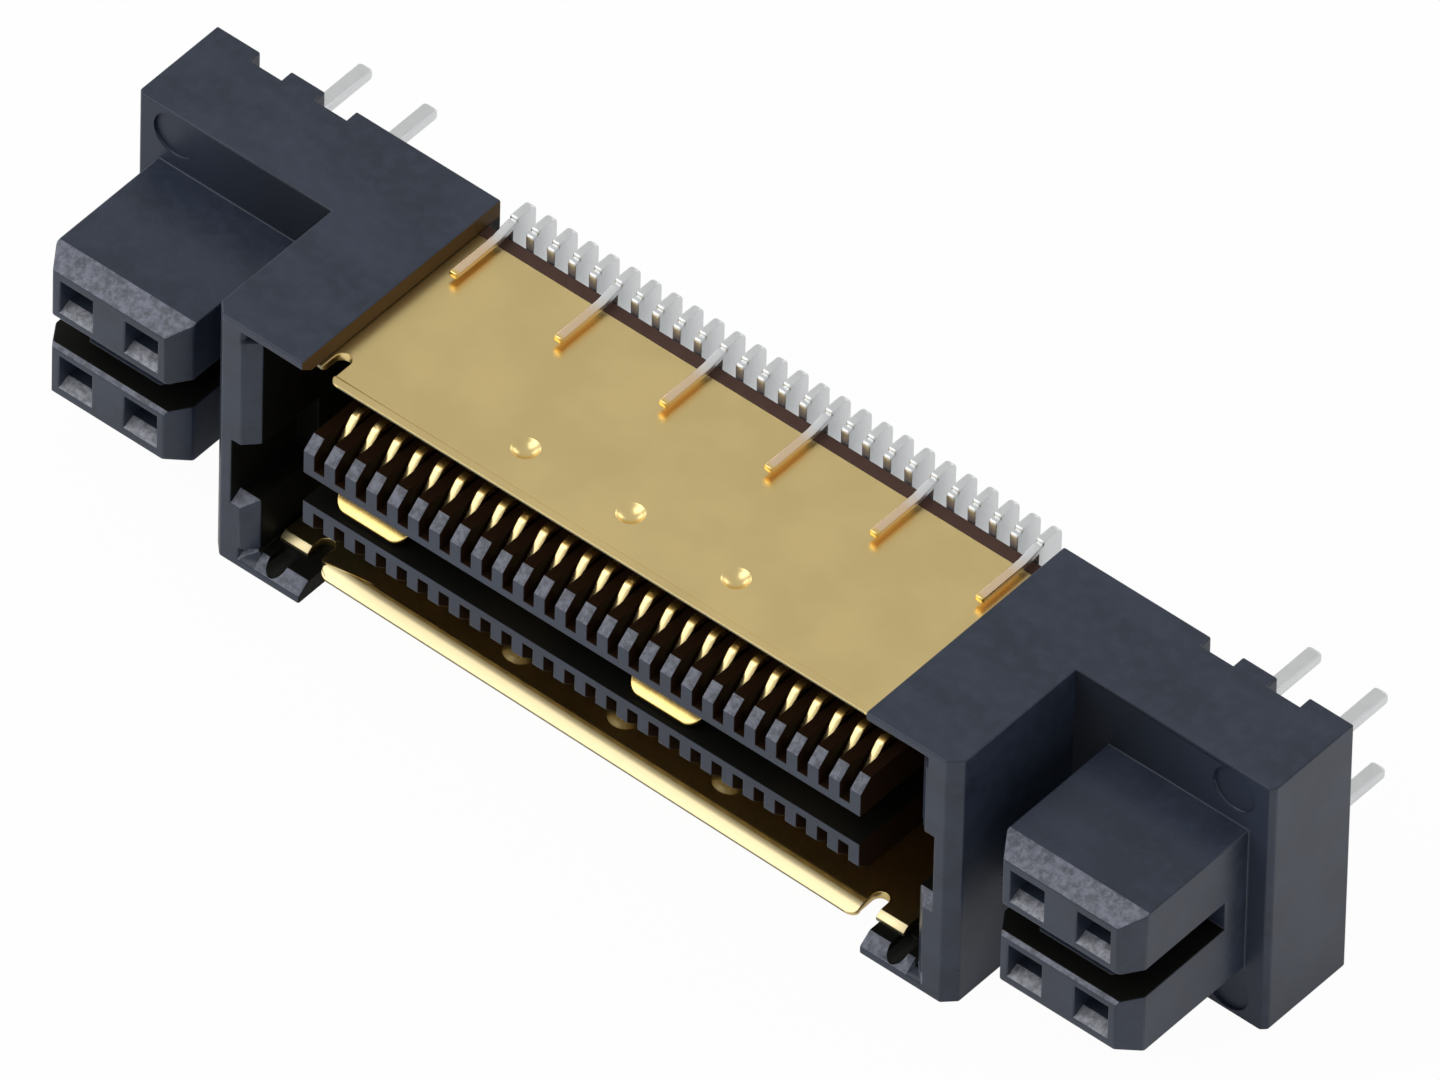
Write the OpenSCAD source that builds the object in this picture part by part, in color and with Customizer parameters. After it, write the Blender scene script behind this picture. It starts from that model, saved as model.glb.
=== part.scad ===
// Straight board-to-board connector, lying on one long side.
// X runs along the contact rows, +Y points to the circuit board, -Y to the mating part, +Z is up.
// All lengths are in millimetres.

/* [Contact rows] */
// Contacts in each of the two rows, with a ground contact at both ends
contacts_per_row = 26; // [11:5:26]
// Distance between neighbouring contacts of a row
contact_pitch = 0.8; // [0.75:0.05:1]
// Thickness of the stamped contact blades
blade_t = 0.3; // [0.24:0.02:0.36]
// Play between a blade and each side of its channel
blade_play = 0.04; // [0.02:0.01:0.05]
// Height of the blade where it sits in the housing
blade_h = 0.6; // [0.4:0.05:0.8]
// Thickness of the bowed contact arm
arm_t = 0.26; // [0.2:0.02:0.34]
// Centre line radius of the bow
bow_r = 0.35; // [0.3:0.05:0.6]
// Height of the bow above the ribs
bow_proud = 0.3; // [0.2:0.02:0.5]
// Slope of the front of the bow
bow_slope = 48; // [35:1:55]
// Distance from the mating face back to the top of the bow
bow_setback = 1.85; // [1.7:0.05:2.6]
// Distance that the solder feet stand behind the back of the housing
solder_reach = 0.6; // [0.4:0.05:1]
// Height of a solder foot
foot_h = 1.9; // [1.2:0.1:2.4]
// Radius at the outer end of a solder foot
foot_r = 0.25; // [0.1:0.05:0.4]
// Distance that the feet stay inside the long sides of the housing
foot_inset = 0.02; // [0:0.02:0.2]
// Height of the step in front of a foot
foot_step = 0.12; // [0.05:0.01:0.25]
// Reach of the ground arms over the shield, from the back of the housing
ground_arm_reach = 3; // [2:0.1:4]
// Thickness of the ground arms
ground_arm_t = 0.22; // [0.16:0.02:0.24]
// Gap between a ground arm and the shield below it
ground_arm_gap = 0.16; // [0.08:0.02:0.24]
// Radius of the upper front corners at the rear of the contacts
shoulder_r = 0.1; // [0.04:0.02:0.14]

/* [Housing] */
// Width of the housing across the two rows
body_w = 10; // [9.4:0.1:12]
// Depth of the end blocks from the back to the mating face
block_depth = 8.9; // [8.6:0.1:11]
// Length of one end block along the rows
block_len = 3.45; // [3.2:0.05:5]
// Thickness of the end flanges
flange_t = 3.6; // [3:0.1:4.2]
// Depth of the base that holds the contacts
base_depth = 3.4; // [3:0.1:4.2]
// Thickness of the long walls of the end blocks
wall_t = 0.65; // [0.5:0.05:0.9]
// Distance from the last contact channel to the end block
side_gap = 0.3; // [0.25:0.05:0.6]
// Length of the mating cavity inside each end block
cavity_len = 1.85; // [1.8:0.05:2]
// Bevel on the front outer edges of the end blocks
block_bevel = 0.4; // [0.2:0.05:0.6]
// Bevel on the front outer edges of the flanges
flange_bevel = 0.15; // [0.1:0.05:0.5]
// Depth of the lead-in bevel round the cavity mouth
leadin_depth = 0.45; // [0.3:0.05:0.8]
// Height of the lead-in bevel on the long walls
leadin_rise = 0.35; // [0.2:0.05:0.4]
// Width of the lead-in bevel on the end walls
leadin_side = 0.45; // [0.2:0.05:0.55]
// Depth of the polarising slots behind the lead-in bevel
key_slot_d = 0.35; // [0.2:0.05:0.45]
// Width of the polarising slot at the narrow end
key_slot_w = 2.3; // [2:0.05:2.5]
// Width of the polarising slot at the wide end
key_slot_wide = 2.8; // [2.6:0.05:3.2]
// Length of the polarising slots from the mating face
key_slot_len = 3; // [2:0.1:4]
// Height of the sloped ledge at the lower end of a polarising slot
key_ledge = 0.3; // [0.1:0.05:0.4]
// Radius of the short grooves in the long walls of the mouth
wing_groove_r = 0.33; // [0.2:0.01:0.34]
// Length of those grooves from the mating face
wing_groove_len = 1.1; // [0.6:0.05:1.6]
// Distance of those grooves from the end wall of the mouth
wing_groove_edge = 0.7; // [0.5:0.05:0.9]
// Distance from the back of the housing to the face where the feet come out
tail_face = 0.52; // [0.4:0.02:0.7]

/* [Contact combs] */
// Gap between the two combs
comb_gap = 1.15; // [1.1:0.05:1.4]
// Thickness of the rail under the ribs
rail_t = 0.3; // [0.2:0.05:0.4]
// Height of the ribs above the rail
rib_h = 1; // [0.8:0.05:1.2]
// Depth of the bevel at the front of the ribs
rib_bevel_depth = 0.45; // [0.3:0.05:0.7]
// Height of the bevel at the front of the ribs
rib_bevel_h = 0.4; // [0.2:0.05:0.6]

/* [Power modules] */
// Distance between neighbouring power contacts along the rows
power_pitch = 2.5; // [2.3:0.1:2.8]
// Distance between the two rows of power contacts
power_row = 3.1; // [3:0.1:3.6]
// Length of a power module along the rows
guide_len = 5.3; // [5:0.1:6]
// Width of a power module across the rows
guide_w = 5.7; // [5.5:0.1:6.4]
// Distance that a power module stands past the mating face
guide_proud = 0; // [-0.5:0.05:0.5]
// Gap between a power module and the end block
guide_gap = 1.3; // [1:0.05:2]
// Length of the flange past the power module
flange_margin = 0.85; // [0.6:0.05:2]
// Depth of the bevels along the front of a power module
guide_bevel_depth = 0.85; // [0.4:0.05:1]
// Height of the bevels along the front of a power module
guide_bevel_h = 0.35; // [0.2:0.05:0.6]
// Depth of the bevels on the upright front edges of a power module
guide_corner = 0.75; // [0.4:0.05:0.9]
// Width of those bevels along the rows
guide_corner_w = 0.5; // [0.3:0.05:0.7]
// Width of the groove between the two power rows
groove_w = 1.1; // [0.6:0.05:1.1]
// Depth of the groove between the two power rows
groove_d = 0.8; // [0.3:0.05:0.9]
// Bevel on the edges of that groove
groove_bevel = 0.12; // [0.08:0.02:0.16]
// Distance from the flange to the end of the groove
groove_stop = 0.95; // [0.5:0.05:1.5]
// Length of a power socket along the rows
socket_len = 1.25; // [1:0.05:1.4]
// Width of a power socket across the rows
socket_w = 1.3; // [0.9:0.05:1.3]
// Depth of the bevels inside a power socket
socket_bevel_depth = 0.45; // [0.3:0.05:0.6]
// Height of the bevels inside a power socket
socket_bevel_h = 0.2; // [0.1:0.02:0.3]
// Thickness of the front wall of a power module
front_wall = 0.95; // [0.8:0.05:1.2]
// Length of the chamber behind the socket
chamber_len = 1.15; // [1:0.05:1.3]
// Width of the chamber behind the socket
chamber_w = 1.6; // [1.4:0.05:1.7]

/* [Power contacts] */
// Sheet thickness of the power contacts
power_sheet = 0.2; // [0.15:0.05:0.25]
// Play between a power contact and the ends of its chamber
power_play = 0.05; // [0.03:0.01:0.08]
// Gap between the two springs where they touch a pin
spring_gap = 0.14; // [0.1:0.02:0.2]
// Width of a power pin along the rows
pin_w = 0.5; // [0.4:0.02:0.8]
// Thickness of a power pin
pin_t = 0.36; // [0.3:0.02:0.6]
// Reach of the power pins from the back of the housing
pin_reach = 4.2; // [3:0.1:6]
// Bevel at the tip of a power pin
pin_bevel = 0.11; // [0.05:0.01:0.14]

/* [Board side] */
// Width of the recess round a power pin
recess_w = 1.2; // [1.16:0.02:1.4]
// Depth of the recess round a power pin
recess_d = 0.45; // [0.2:0.05:0.6]
// Height of the stand-off feet
standoff_h = 0.55; // [0.35:0.05:0.95]
// Radius of the stand-off feet
standoff_r = 0.5; // [0.4:0.05:0.6]
// Distance of the outer stand-off feet from the end of the flange
standoff_edge = 0.5; // [0.3:0.05:0.6]
// Distance of the stand-off feet from the middle plane
standoff_z = 2.9; // [2:0.1:3.2]
// Radius of the round pockets that the mould ejectors leave
pocket_r = 0.8; // [0.5:0.05:0.85]
// Depth of the ejector pockets
pocket_d = 0.12; // [0.05:0.01:0.3]
// Distance of an ejector pocket from the long side of the housing
pocket_edge = 0.9; // [0.86:0.02:1.2]

/* [Shields] */
// Sheet thickness of the shields
shield_t = 0.3; // [0.2:0.02:0.4]
// Distance from the mating face to the front edge of a shield
shield_setback = 0.5; // [0.3:0.05:0.8]
// Distance from the back of the housing to the rear edge of a shield
shield_rear = 1; // [0.9:0.05:1.4]
// Depth of the formed lip at the front edge
lip_depth = 0.5; // [0.4:0.05:0.8]
// Height that the lip bends outwards
lip_rise = 0.05; // [0.02:0.01:0.12]
// Length of the step where the lip bends outwards
lip_jog = 0.11; // [0.06:0.01:0.2]
// Depth of the pressed slope on the inner face of the lip
lip_coin = 0.65; // [0.3:0.05:0.8]
// Thickness of the lip at its front edge
lip_edge = 0.08; // [0.06:0.02:0.2]
// Radius of the lip corners
lip_corner = 0.35; // [0.1:0.05:0.4]
// Distance that the lip ends stay short of the last contact channel
lip_short = 0.1; // [0:0.02:0.2]
// Distance from the lip end to the relief notch
lip_neck = 0.5; // [0.3:0.05:0.5]
// Width of the relief notch beside the lip
notch_w = 0.55; // [0.4:0.05:0.55]
// Length of the relief notch from the front edge
notch_len = 1.45; // [1.2:0.05:2]
// Width of the wings that sit in the end blocks
wing_w = 1.05; // [0.8:0.05:1.05]
// Distance that the wings stay behind the lip
wing_setback = 0.65; // [0.5:0.05:0.8]
// Depth of the pressed bevel at the front of the wings
wing_coin_d = 0.22; // [0.1:0.02:0.3]
// Height of that bevel
wing_coin_h = 0.16; // [0.1:0.02:0.2]
// Distance that the notch and wing of the short end stand nearer to the middle
short_shift = 0.75; // [0.5:0.05:0.8]
// Distance that they stand nearer to the mating face
short_forward = 0.3; // [0.1:0.05:0.35]
// Contacts from one shield dimple to the next
dimple_step = 5; // [4:1:6]
// Distance of the dimples behind the front edge
dimple_setback = 1.65; // [1.2:0.05:2.5]
// Radius of the punch that made the dimples
dimple_r = 0.6; // [0.4:0.05:0.8]
// Depth of the dimples
dimple_d = 0.2; // [0.1:0.02:0.26]

/* [Ground plate] */
// Sheet thickness of the ground plate
plate_t = 0.25; // [0.2:0.01:0.3]
// Distance from the mating face to the front edge of the plate
plate_setback = 1.6; // [1:0.1:2]
// Distance from the mating face to the ends of the plate fingers
finger_setback = 0.25; // [0.2:0.05:0.6]
// Distance from the mating face back to where the fingers start to bend
finger_knee = 1; // [0.9:0.05:1.4]
// Length of a plate finger along the rows
finger_len = 2.7; // [2:0.1:3]
// Contacts from one plate finger to the next
finger_step = 7; // [6:1:8]
// Distance that the fingers are bent off the middle plane
finger_bend = 0.36; // [0.25:0.01:0.36]
// Thickness of the finger ends
finger_end_t = 0.12; // [0.1:0.01:0.2]
// Radius of the finger corners
finger_r = 0.5; // [0.2:0.05:0.6]
// Width of the solder tails of the ground plate
plate_tail_w = 0.4; // [0.3:0.05:0.5]

/* [Hidden] */
$fn = 48;
cut = 0.1;
seat = 0.02;
mid = body_w / 2;
ground_every = 5;
channel_w = blade_t + 2 * blade_play;
rib_w = contact_pitch - channel_w;
row_half = contacts_per_row * contact_pitch / 2;
comb_half = row_half + rib_w / 2;
block_in = row_half + side_gap;
block_out = block_in + block_len;
cavity_x = block_in + cavity_len;
guide_reach = block_depth + guide_proud;
guide_in = block_out + guide_gap;
guide_mid = guide_in + guide_len / 2;
flange_x = guide_in + guide_len + flange_margin;
rail_z = comb_gap / 2;
channel_z = rail_z + rail_t;
comb_z = channel_z + rib_h;
inner_z = mid - wall_t;
base_z = inner_z - shield_t;
shield_front = block_depth - shield_setback;
lip_half = row_half - lip_short;
lip_start = short_shift - lip_half - lip_neck;
shield_half = lip_half + lip_neck + notch_w + wing_w;
short_half = shield_half - short_shift;
plate_half = row_half - contact_pitch / 4;
tail_end = solder_reach;
back_mid = (pin_reach - max(block_depth, guide_reach)) / 2;
key_slot_mid = [-1.1, 0.2];

function contact_x(i) = (i - (contacts_per_row - 1) / 2) * contact_pitch;
function is_ground(i) = i % ground_every == 0;
function contact_name(row, i) =
    str(is_ground(i) ? "ground" : "signal", "_contact_", row, "_", i < 9 ? "0" : "", i + 1);
function polar(r, a) = [r * cos(a), r * sin(a)];

// Puts the middle of the bounding box over the origin and the lower long side on the floor
module lying() translate([0, -back_mid, mid]) children();

// Draws an outline of the Y-Z plane as a plate of width w, centred on X
module across(w) rotate([90, 0, 90]) linear_extrude(w, center = true) children();

// Copies what it is given to the other end or the other row
module both_ends() {
    children();
    mirror([1, 0, 0]) children();
}
module both_rows() {
    children();
    mirror([0, 0, 1]) children();
}

// Straight bar of thickness t between two points of an outline
module bar(p, q, t) {
    d = q - p;
    translate(p) rotate(atan2(d[1], d[0])) translate([0, -t / 2]) square([norm(d), t]);
}

// Outline seen from above of one flange with its end block
module end_outline() polygon([
    [block_in, 0], [flange_x, 0], [flange_x, flange_bevel - flange_t],
    [flange_x - flange_bevel, -flange_t], [block_out, -flange_t],
    [block_out, block_bevel - block_depth], [block_out - block_bevel, -block_depth],
    [block_in, -block_depth]
]);

// Outline seen from above of one power module, drawn smaller by an inset
module guide_outline(inset = 0) {
    x1 = guide_in + inset;
    x2 = guide_in + guide_len - inset;
    y1 = inset - guide_reach;
    polygon([
        [x1, cut - flange_t], [x2, cut - flange_t], [x2, y1 + guide_corner],
        [x2 - guide_corner_w, y1], [x1 + guide_corner_w, y1], [x1, y1 + guide_corner]
    ]);
}

// Side view of a power module with its bevelled front edges
module guide_side() polygon([
    [cut - flange_t, -guide_w / 2], [guide_bevel_depth - guide_reach, -guide_w / 2],
    [-guide_reach, guide_bevel_h - guide_w / 2], [-guide_reach, guide_w / 2 - guide_bevel_h],
    [guide_bevel_depth - guide_reach, guide_w / 2], [cut - flange_t, guide_w / 2]
]);

// Power module with the groove that runs round it between its two rows
module guide() difference() {
    intersection() {
        linear_extrude(guide_w, center = true) guide_outline();
        translate([guide_mid, 0, 0]) across(guide_len + cut) guide_side();
    }
    difference() {
        translate([guide_in - cut, -guide_reach - cut, -groove_w / 2])
            cube([guide_len + 2 * cut, guide_reach + cut - flange_t - groove_stop, groove_w]);
        linear_extrude(groove_w + cut, center = true) guide_outline(groove_d);
    }
    both_rows() translate([guide_mid, 0, 0]) across(guide_len + 2 * cut) polygon([
        [-guide_reach - cut, groove_w / 2 - cut], [groove_bevel - guide_reach, groove_w / 2 - cut],
        [groove_bevel - guide_reach, groove_w / 2],
        [-guide_reach, groove_w / 2 + groove_bevel], [-guide_reach - cut, groove_w / 2 + groove_bevel]
    ]);
}

// Socket with bevelled long sides, and the chamber of the power contact behind it
module power_chamber() {
    slot_w = socket_w - 2 * socket_bevel_h;
    inner_y = front_wall - guide_reach;
    across(socket_len) polygon([
        [-guide_reach - cut, -socket_w / 2], [-guide_reach, -socket_w / 2],
        [socket_bevel_depth - guide_reach, -slot_w / 2], [inner_y + cut, -slot_w / 2],
        [inner_y + cut, slot_w / 2], [socket_bevel_depth - guide_reach, slot_w / 2],
        [-guide_reach, socket_w / 2], [-guide_reach - cut, socket_w / 2]
    ]);
    across(chamber_len) translate([inner_y, -chamber_w / 2]) square([cut - inner_y, chamber_w]);
}

// Runs its children at the four power contacts of the right end
module power_places() for (x = [-1, 1], z = [-1, 1])
    translate([guide_mid + x * power_pitch / 2, 0, z * power_row / 2]) children();

// Mouth of the mating cavity inside one end block
module cavity() {
    side_x = cavity_x + leadin_side;
    translate([block_in - cut, -block_depth - cut, -inner_z])
        cube([cavity_len + cut, block_depth + cut - base_depth, 2 * inner_z]);
    linear_extrude(2 * (inner_z + leadin_rise), center = true) polygon([
        [cavity_x - cut, leadin_depth - block_depth], [cavity_x, leadin_depth - block_depth],
        [side_x, -block_depth], [side_x, -block_depth - cut], [cavity_x - cut, -block_depth - cut]
    ]);
    both_rows() translate([(block_in + side_x) / 2, 0, 0]) across(side_x - block_in + cut) polygon([
        [-block_depth - cut, inner_z - cut], [leadin_depth - block_depth, inner_z - cut],
        [leadin_depth - block_depth, inner_z], [-block_depth, inner_z + leadin_rise],
        [-block_depth - cut, inner_z + leadin_rise]
    ]);
    both_rows() translate([cavity_x - wing_groove_edge, wing_groove_len - block_depth, inner_z])
        rotate([90, 0, 0]) cylinder(r = wing_groove_r, h = wing_groove_len + cut);
}

// Slot in the base that holds the rear of one shield wing, up to the end of that wing
module wing_slot(half) translate([block_in - cut, -base_depth - cut, base_z])
    cube([half + seat - block_in + cut, base_depth + cut - shield_rear, shield_t]);

// Polarising slot of one end wall, at its own height and width on each end
module key_slot(z, w) {
    d = leadin_side + key_slot_d + cut;
    translate([cavity_x - cut + d / 2, 0, z]) across(d) polygon([
        [-block_depth - cut, -w / 2 - key_ledge], [-block_depth, -w / 2 - key_ledge],
        [leadin_depth - block_depth, -w / 2], [key_slot_len - block_depth, -w / 2],
        [key_slot_len - block_depth, w / 2], [-block_depth - cut, w / 2]
    ]);
}

// Side view of one comb with the bevelled ends of its ribs
module comb_side() polygon([
    [cut - base_depth, rail_z], [-block_depth, rail_z], [-block_depth, comb_z - rib_bevel_h],
    [rib_bevel_depth - block_depth, comb_z], [cut - base_depth, comb_z]
]);

// Channel for one contact, open above the rail and closed inside the base
module contact_channel() across(channel_w) polygon([
    [-block_depth - cut, channel_z], [cut, channel_z], [cut, channel_z + blade_h + seat],
    [-base_depth, channel_z + blade_h + seat], [-base_depth, comb_z + cut],
    [-block_depth - cut, comb_z + cut]
]);

// Base, rear ledges, combs, end blocks and power modules before anything is cut
module housing_body() {
    translate([-block_in - cut, -base_depth, -base_z])
        cube([2 * (block_in + cut), base_depth - tail_face, 2 * base_z]);
    translate([-block_in - cut, -shield_rear, -inner_z])
        cube([2 * (block_in + cut), shield_rear - tail_face, 2 * inner_z]);
    both_rows() across(2 * comb_half) comb_side();
    both_ends() {
        linear_extrude(body_w, center = true) end_outline();
        guide();
        for (x = [block_out - standoff_r, flange_x - standoff_edge - standoff_r], z = [-1, 1])
            translate([x, standoff_h, z * standoff_z]) rotate([90, 0, 0])
                cylinder(r = standoff_r, h = standoff_h + cut);
    }
}

module housing() color("#22262d") difference() {
    housing_body();
    for (i = [0 : contacts_per_row - 1]) both_rows() translate([contact_x(i), 0, 0]) contact_channel();
    translate([-plate_half - seat, -base_depth - cut, -plate_t / 2])
        cube([2 * (plate_half + seat), base_depth + 2 * cut, plate_t]);
    both_ends() {
        cavity();
        power_places() power_chamber();
        for (x = [-1, 1]) translate([guide_mid + x * power_pitch / 2 - recess_w / 2, -recess_d, -mid - cut])
            cube([recess_w, recess_d + cut, body_w + 2 * cut]);
        for (z = [-1, 1]) translate([guide_mid + guide_len / 2 - pocket_r + 2 * cut, pocket_d - flange_t, z * (mid - pocket_edge)])
            rotate([90, 0, 0]) cylinder(r = pocket_r, h = pocket_d + cut);
    }
    for (a = [0, 180]) rotate([0, a, 0]) {
        wing_slot(shield_half);
        mirror([1, 0, 0]) wing_slot(short_half);
    }
    mirror([1, 0, 0]) key_slot(key_slot_mid[0], key_slot_w);
    key_slot(key_slot_mid[1], key_slot_wide);
}

// Bowed arm of a contact, from its root in the base to its tip near the mating face
module contact_arm() {
    centre = [bow_setback - block_depth, comb_z + bow_proud - bow_r - arm_t / 2];
    root = [-base_depth - blade_h / 2, channel_z + blade_h / 2];
    to_root = root - centre;
    front_a = 90 + bow_slope;
    rear_a = atan2(to_root[1], to_root[0]) + acos(bow_r / norm(to_root));
    front = centre + polar(bow_r, front_a);
    tip_z = channel_z + arm_t / 2 + blade_play;
    tip = [front[0] - (front[1] - tip_z) / tan(bow_slope), tip_z];
    translate(centre) intersection() {
        difference() {
            circle(bow_r + arm_t / 2);
            circle(bow_r - arm_t / 2);
        }
        polygon([[0, 0], for (k = [0 : 4]) polar(2 * bow_r, rear_a - 2 + k * (front_a - rear_a + 4) / 4)]);
    }
    bar(front, tip, arm_t);
    translate(tip) circle(arm_t / 2);
    bar(centre + polar(bow_r, rear_a), root, arm_t);
}

// Upright block of an outline, from y0 to y1 and from z0 to z1, with its upper front corner rounded
module upright(y0, y1, z0, z1) {
    translate([y0, z0]) square([y1 - y0, z1 - z0 - shoulder_r]);
    translate([y0 + shoulder_r, z0]) square([y1 - y0 - shoulder_r, z1 - z0]);
    translate([y0 + shoulder_r, z1 - shoulder_r]) circle(shoulder_r);
}

// Solder foot with its rounded outer end, standing behind the housing
module contact_foot() {
    top = mid - foot_inset;
    step_y = foot_step * 2 - tail_face;
    upright(step_y, tail_end - foot_r, top - foot_h, top);
    translate([step_y, top - foot_h]) square([tail_end - step_y, foot_h - foot_r]);
    translate([tail_end - foot_r, top - foot_r]) circle(foot_r);
}

// Whole outline of one contact of the upper row
module contact_outline(ground) {
    riser_y = seat - tail_face;
    riser_top = mid - foot_inset - foot_step;
    contact_arm();
    translate([-base_depth - blade_h, channel_z]) square([base_depth + blade_h + riser_y, blade_h]);
    upright(riser_y, 0, channel_z, riser_top);
    contact_foot();
    if (ground) {
        arm_z = inner_z + ground_arm_gap;
        knee = [-2 * tail_face, arm_z + ground_arm_t / 2];
        translate([-ground_arm_reach, arm_z]) square([ground_arm_reach + knee[0], ground_arm_t]);
        translate(knee) circle(ground_arm_t / 2);
        bar(knee, [riser_y + shoulder_r, riser_top - ground_arm_t / 2], ground_arm_t);
    }
}

module upper_contact(i) color(is_ground(i) ? "#c9b98a" : "#c8c8c2")
    translate([contact_x(i), 0, 0]) across(blade_t) contact_outline(is_ground(i));

module lower_contact(i) mirror([0, 0, 1]) upper_contact(i);

// Relief notch with a round end beside the lip, at the long end
module relief_notch() translate([lip_half + lip_neck + notch_w / 2, notch_len - notch_w / 2 - shield_front]) {
    circle(notch_w / 2);
    translate([-notch_w / 2, -notch_len]) square([notch_w, notch_len]);
}

// Flat blank of a shield, with its long end at +X and notches that free the lip from the wings
module shield_blank() {
    long_y = wing_setback - shield_front;
    short_y = long_y - short_forward;
    difference() {
        union() {
            translate([0, long_y]) square([shield_half, -shield_rear - long_y]);
            translate([-short_half, short_y]) square([short_half, -shield_rear - short_y]);
            translate([-lip_half, lip_depth - shield_front])
                square([2 * lip_half, shield_front - lip_depth - shield_rear]);
        }
        relief_notch();
        mirror([1, 0]) translate([-short_shift, -short_forward]) relief_notch();
        translate([-lip_half, -shield_front - cut]) square([2 * lip_half, lip_depth + cut]);
    }
}

// Outline seen from above of the lip, with rounded front corners
module lip_outline() {
    for (x = [lip_start + lip_corner, lip_half - lip_corner])
        translate([x, lip_corner - shield_front]) circle(lip_corner);
    translate([lip_start + lip_corner, -shield_front])
        square([lip_half - lip_start - 2 * lip_corner, lip_depth]);
    translate([lip_start, lip_corner - shield_front])
        square([lip_half - lip_start, lip_depth - lip_corner]);
}

// Side view of the lip, stepped outwards
module lip_side() polygon([
    [lip_depth - shield_front, base_z], [-shield_front, base_z], [-shield_front, inner_z + lip_rise],
    [lip_depth - lip_jog - shield_front, inner_z + lip_rise], [lip_depth - shield_front, inner_z]
]);

// Wedge that presses away the inner face of a shield at a front edge
module front_wedge(setback, d, h) translate([setback - shield_front, base_z]) polygon([
    [-cut, -cut], [d, -cut], [d, 0], [0, h], [-cut, h]
]);

// Shield of the upper row, with its formed lip and pressed dimples
module shield() {
    count = max(1, floor((contacts_per_row - 1) / dimple_step) - 2);
    difference() {
        union() {
            translate([0, 0, base_z]) linear_extrude(shield_t) shield_blank();
            intersection() {
                across(2 * lip_half) lip_side();
                linear_extrude(body_w) lip_outline();
            }
            for (k = [0 : count - 1]) translate([(k - (count - 1) / 2) * dimple_step * contact_pitch, 0, 0])
                intersection() {
                    dimple(dimple_r + shield_t);
                    translate([-2 * dimple_r, -shield_front, base_z - dimple_r])
                        cube([4 * dimple_r, shield_front, dimple_r + shield_t / 2]);
                }
        }
        across(2 * lip_half) front_wedge(0, lip_coin, shield_t + lip_rise - lip_edge);
        translate([shield_half - wing_w / 2, 0, 0])
            across(wing_w + 2 * cut) front_wedge(wing_setback, wing_coin_d, wing_coin_h);
        translate([wing_w / 2 - short_half, 0, 0])
            across(wing_w + 2 * cut) front_wedge(wing_setback - short_forward, wing_coin_d, wing_coin_h);
        for (k = [0 : count - 1]) translate([(k - (count - 1) / 2) * dimple_step * contact_pitch, 0, 0])
            dimple(dimple_r);
    }
}

// Ball that shapes one dimple
module dimple(r) translate([0, dimple_setback - shield_front, inner_z + dimple_r - dimple_d]) sphere(r);

module upper_shield() color("#bda66f") shield();

module lower_shield() color("#bda66f") rotate([0, 180, 0]) shield();

// Side view of one finger, bent down towards its thin front end
module finger_side() {
    start = cut + plate_setback - block_depth;
    knee = finger_knee - block_depth;
    front = finger_setback - block_depth;
    low = -finger_bend - plate_t / 2;
    polygon([
        [start, -plate_t / 2], [knee, -plate_t / 2], [front, low], [front, low + finger_end_t],
        [knee, plate_t / 2], [start, plate_t / 2]
    ]);
}

// Outline seen from above of one finger, with rounded corners
module finger_outline() {
    front = finger_setback - block_depth;
    for (x = [-1, 1]) translate([x * (finger_len / 2 - finger_r), front + finger_r]) circle(finger_r);
    translate([finger_r - finger_len / 2, front]) square([finger_len - 2 * finger_r, finger_r]);
    translate([-finger_len / 2, front + finger_r])
        square([finger_len, plate_setback - finger_setback + cut - finger_r]);
}

module ground_plate() color("#c8ab5a") {
    fingers = round(contacts_per_row / finger_step);
    translate([-plate_half, plate_setback - block_depth, -plate_t / 2])
        cube([2 * plate_half, block_depth - plate_setback - tail_face, plate_t]);
    for (k = [0 : fingers - 1]) translate([(k - (fingers - 1) / 2) * finger_step * contact_pitch, 0, 0])
        intersection() {
            across(finger_len) mirror([0, k % 2]) finger_side();
            linear_extrude(comb_gap, center = true) finger_outline();
        }
    for (i = [0 : contacts_per_row - 1]) {
        if (is_ground(i)) {
            translate([contact_x(i) * plate_half / row_half - plate_tail_w / 2, -tail_face - cut, -plate_t / 2])
                cube([plate_tail_w, tail_face + cut + tail_end, plate_t]);
        }
    }
}

// Outline of a pin of width w that starts at y0 and has a bevelled tip
module pin_side(w, y0) polygon([
    [-w / 2, y0], [w / 2, y0], [w / 2, pin_reach - pin_bevel], [w / 2 - pin_bevel, pin_reach],
    [pin_bevel - w / 2, pin_reach], [-w / 2, pin_reach - pin_bevel]
]);

// One power contact: two springs on a web that fits its chamber, and a pin for the board
module power_contact() {
    web_y = -flange_t / 2;
    root_z = chamber_w / 2 - power_sheet;
    touch = [2.4 - guide_reach, (spring_gap + power_sheet) / 2];
    tip = [front_wall + power_play - guide_reach, touch[1] + power_sheet / 2];
    across(chamber_len - 2 * power_play) {
        translate([web_y, -chamber_w / 2]) square([power_sheet, chamber_w]);
        for (z = [-1, 1]) mirror([0, z > 0 ? 0 : 1]) {
            bar([web_y + power_sheet / 2, root_z], touch, power_sheet);
            bar(touch, tip, power_sheet);
            translate(touch) circle(power_sheet / 2);
        }
    }
    intersection() {
        linear_extrude(pin_t, center = true) pin_side(pin_w, web_y);
        rotate([0, 90, 0]) linear_extrude(pin_w, center = true) pin_side(pin_t, web_y);
    }
}

// The two power contacts of one row at the right end
module power_pair(row) color("#cfd1d0") for (x = [-1, 1])
    translate([guide_mid + x * power_pitch / 2, 0, row * power_row / 2]) power_contact();

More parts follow.
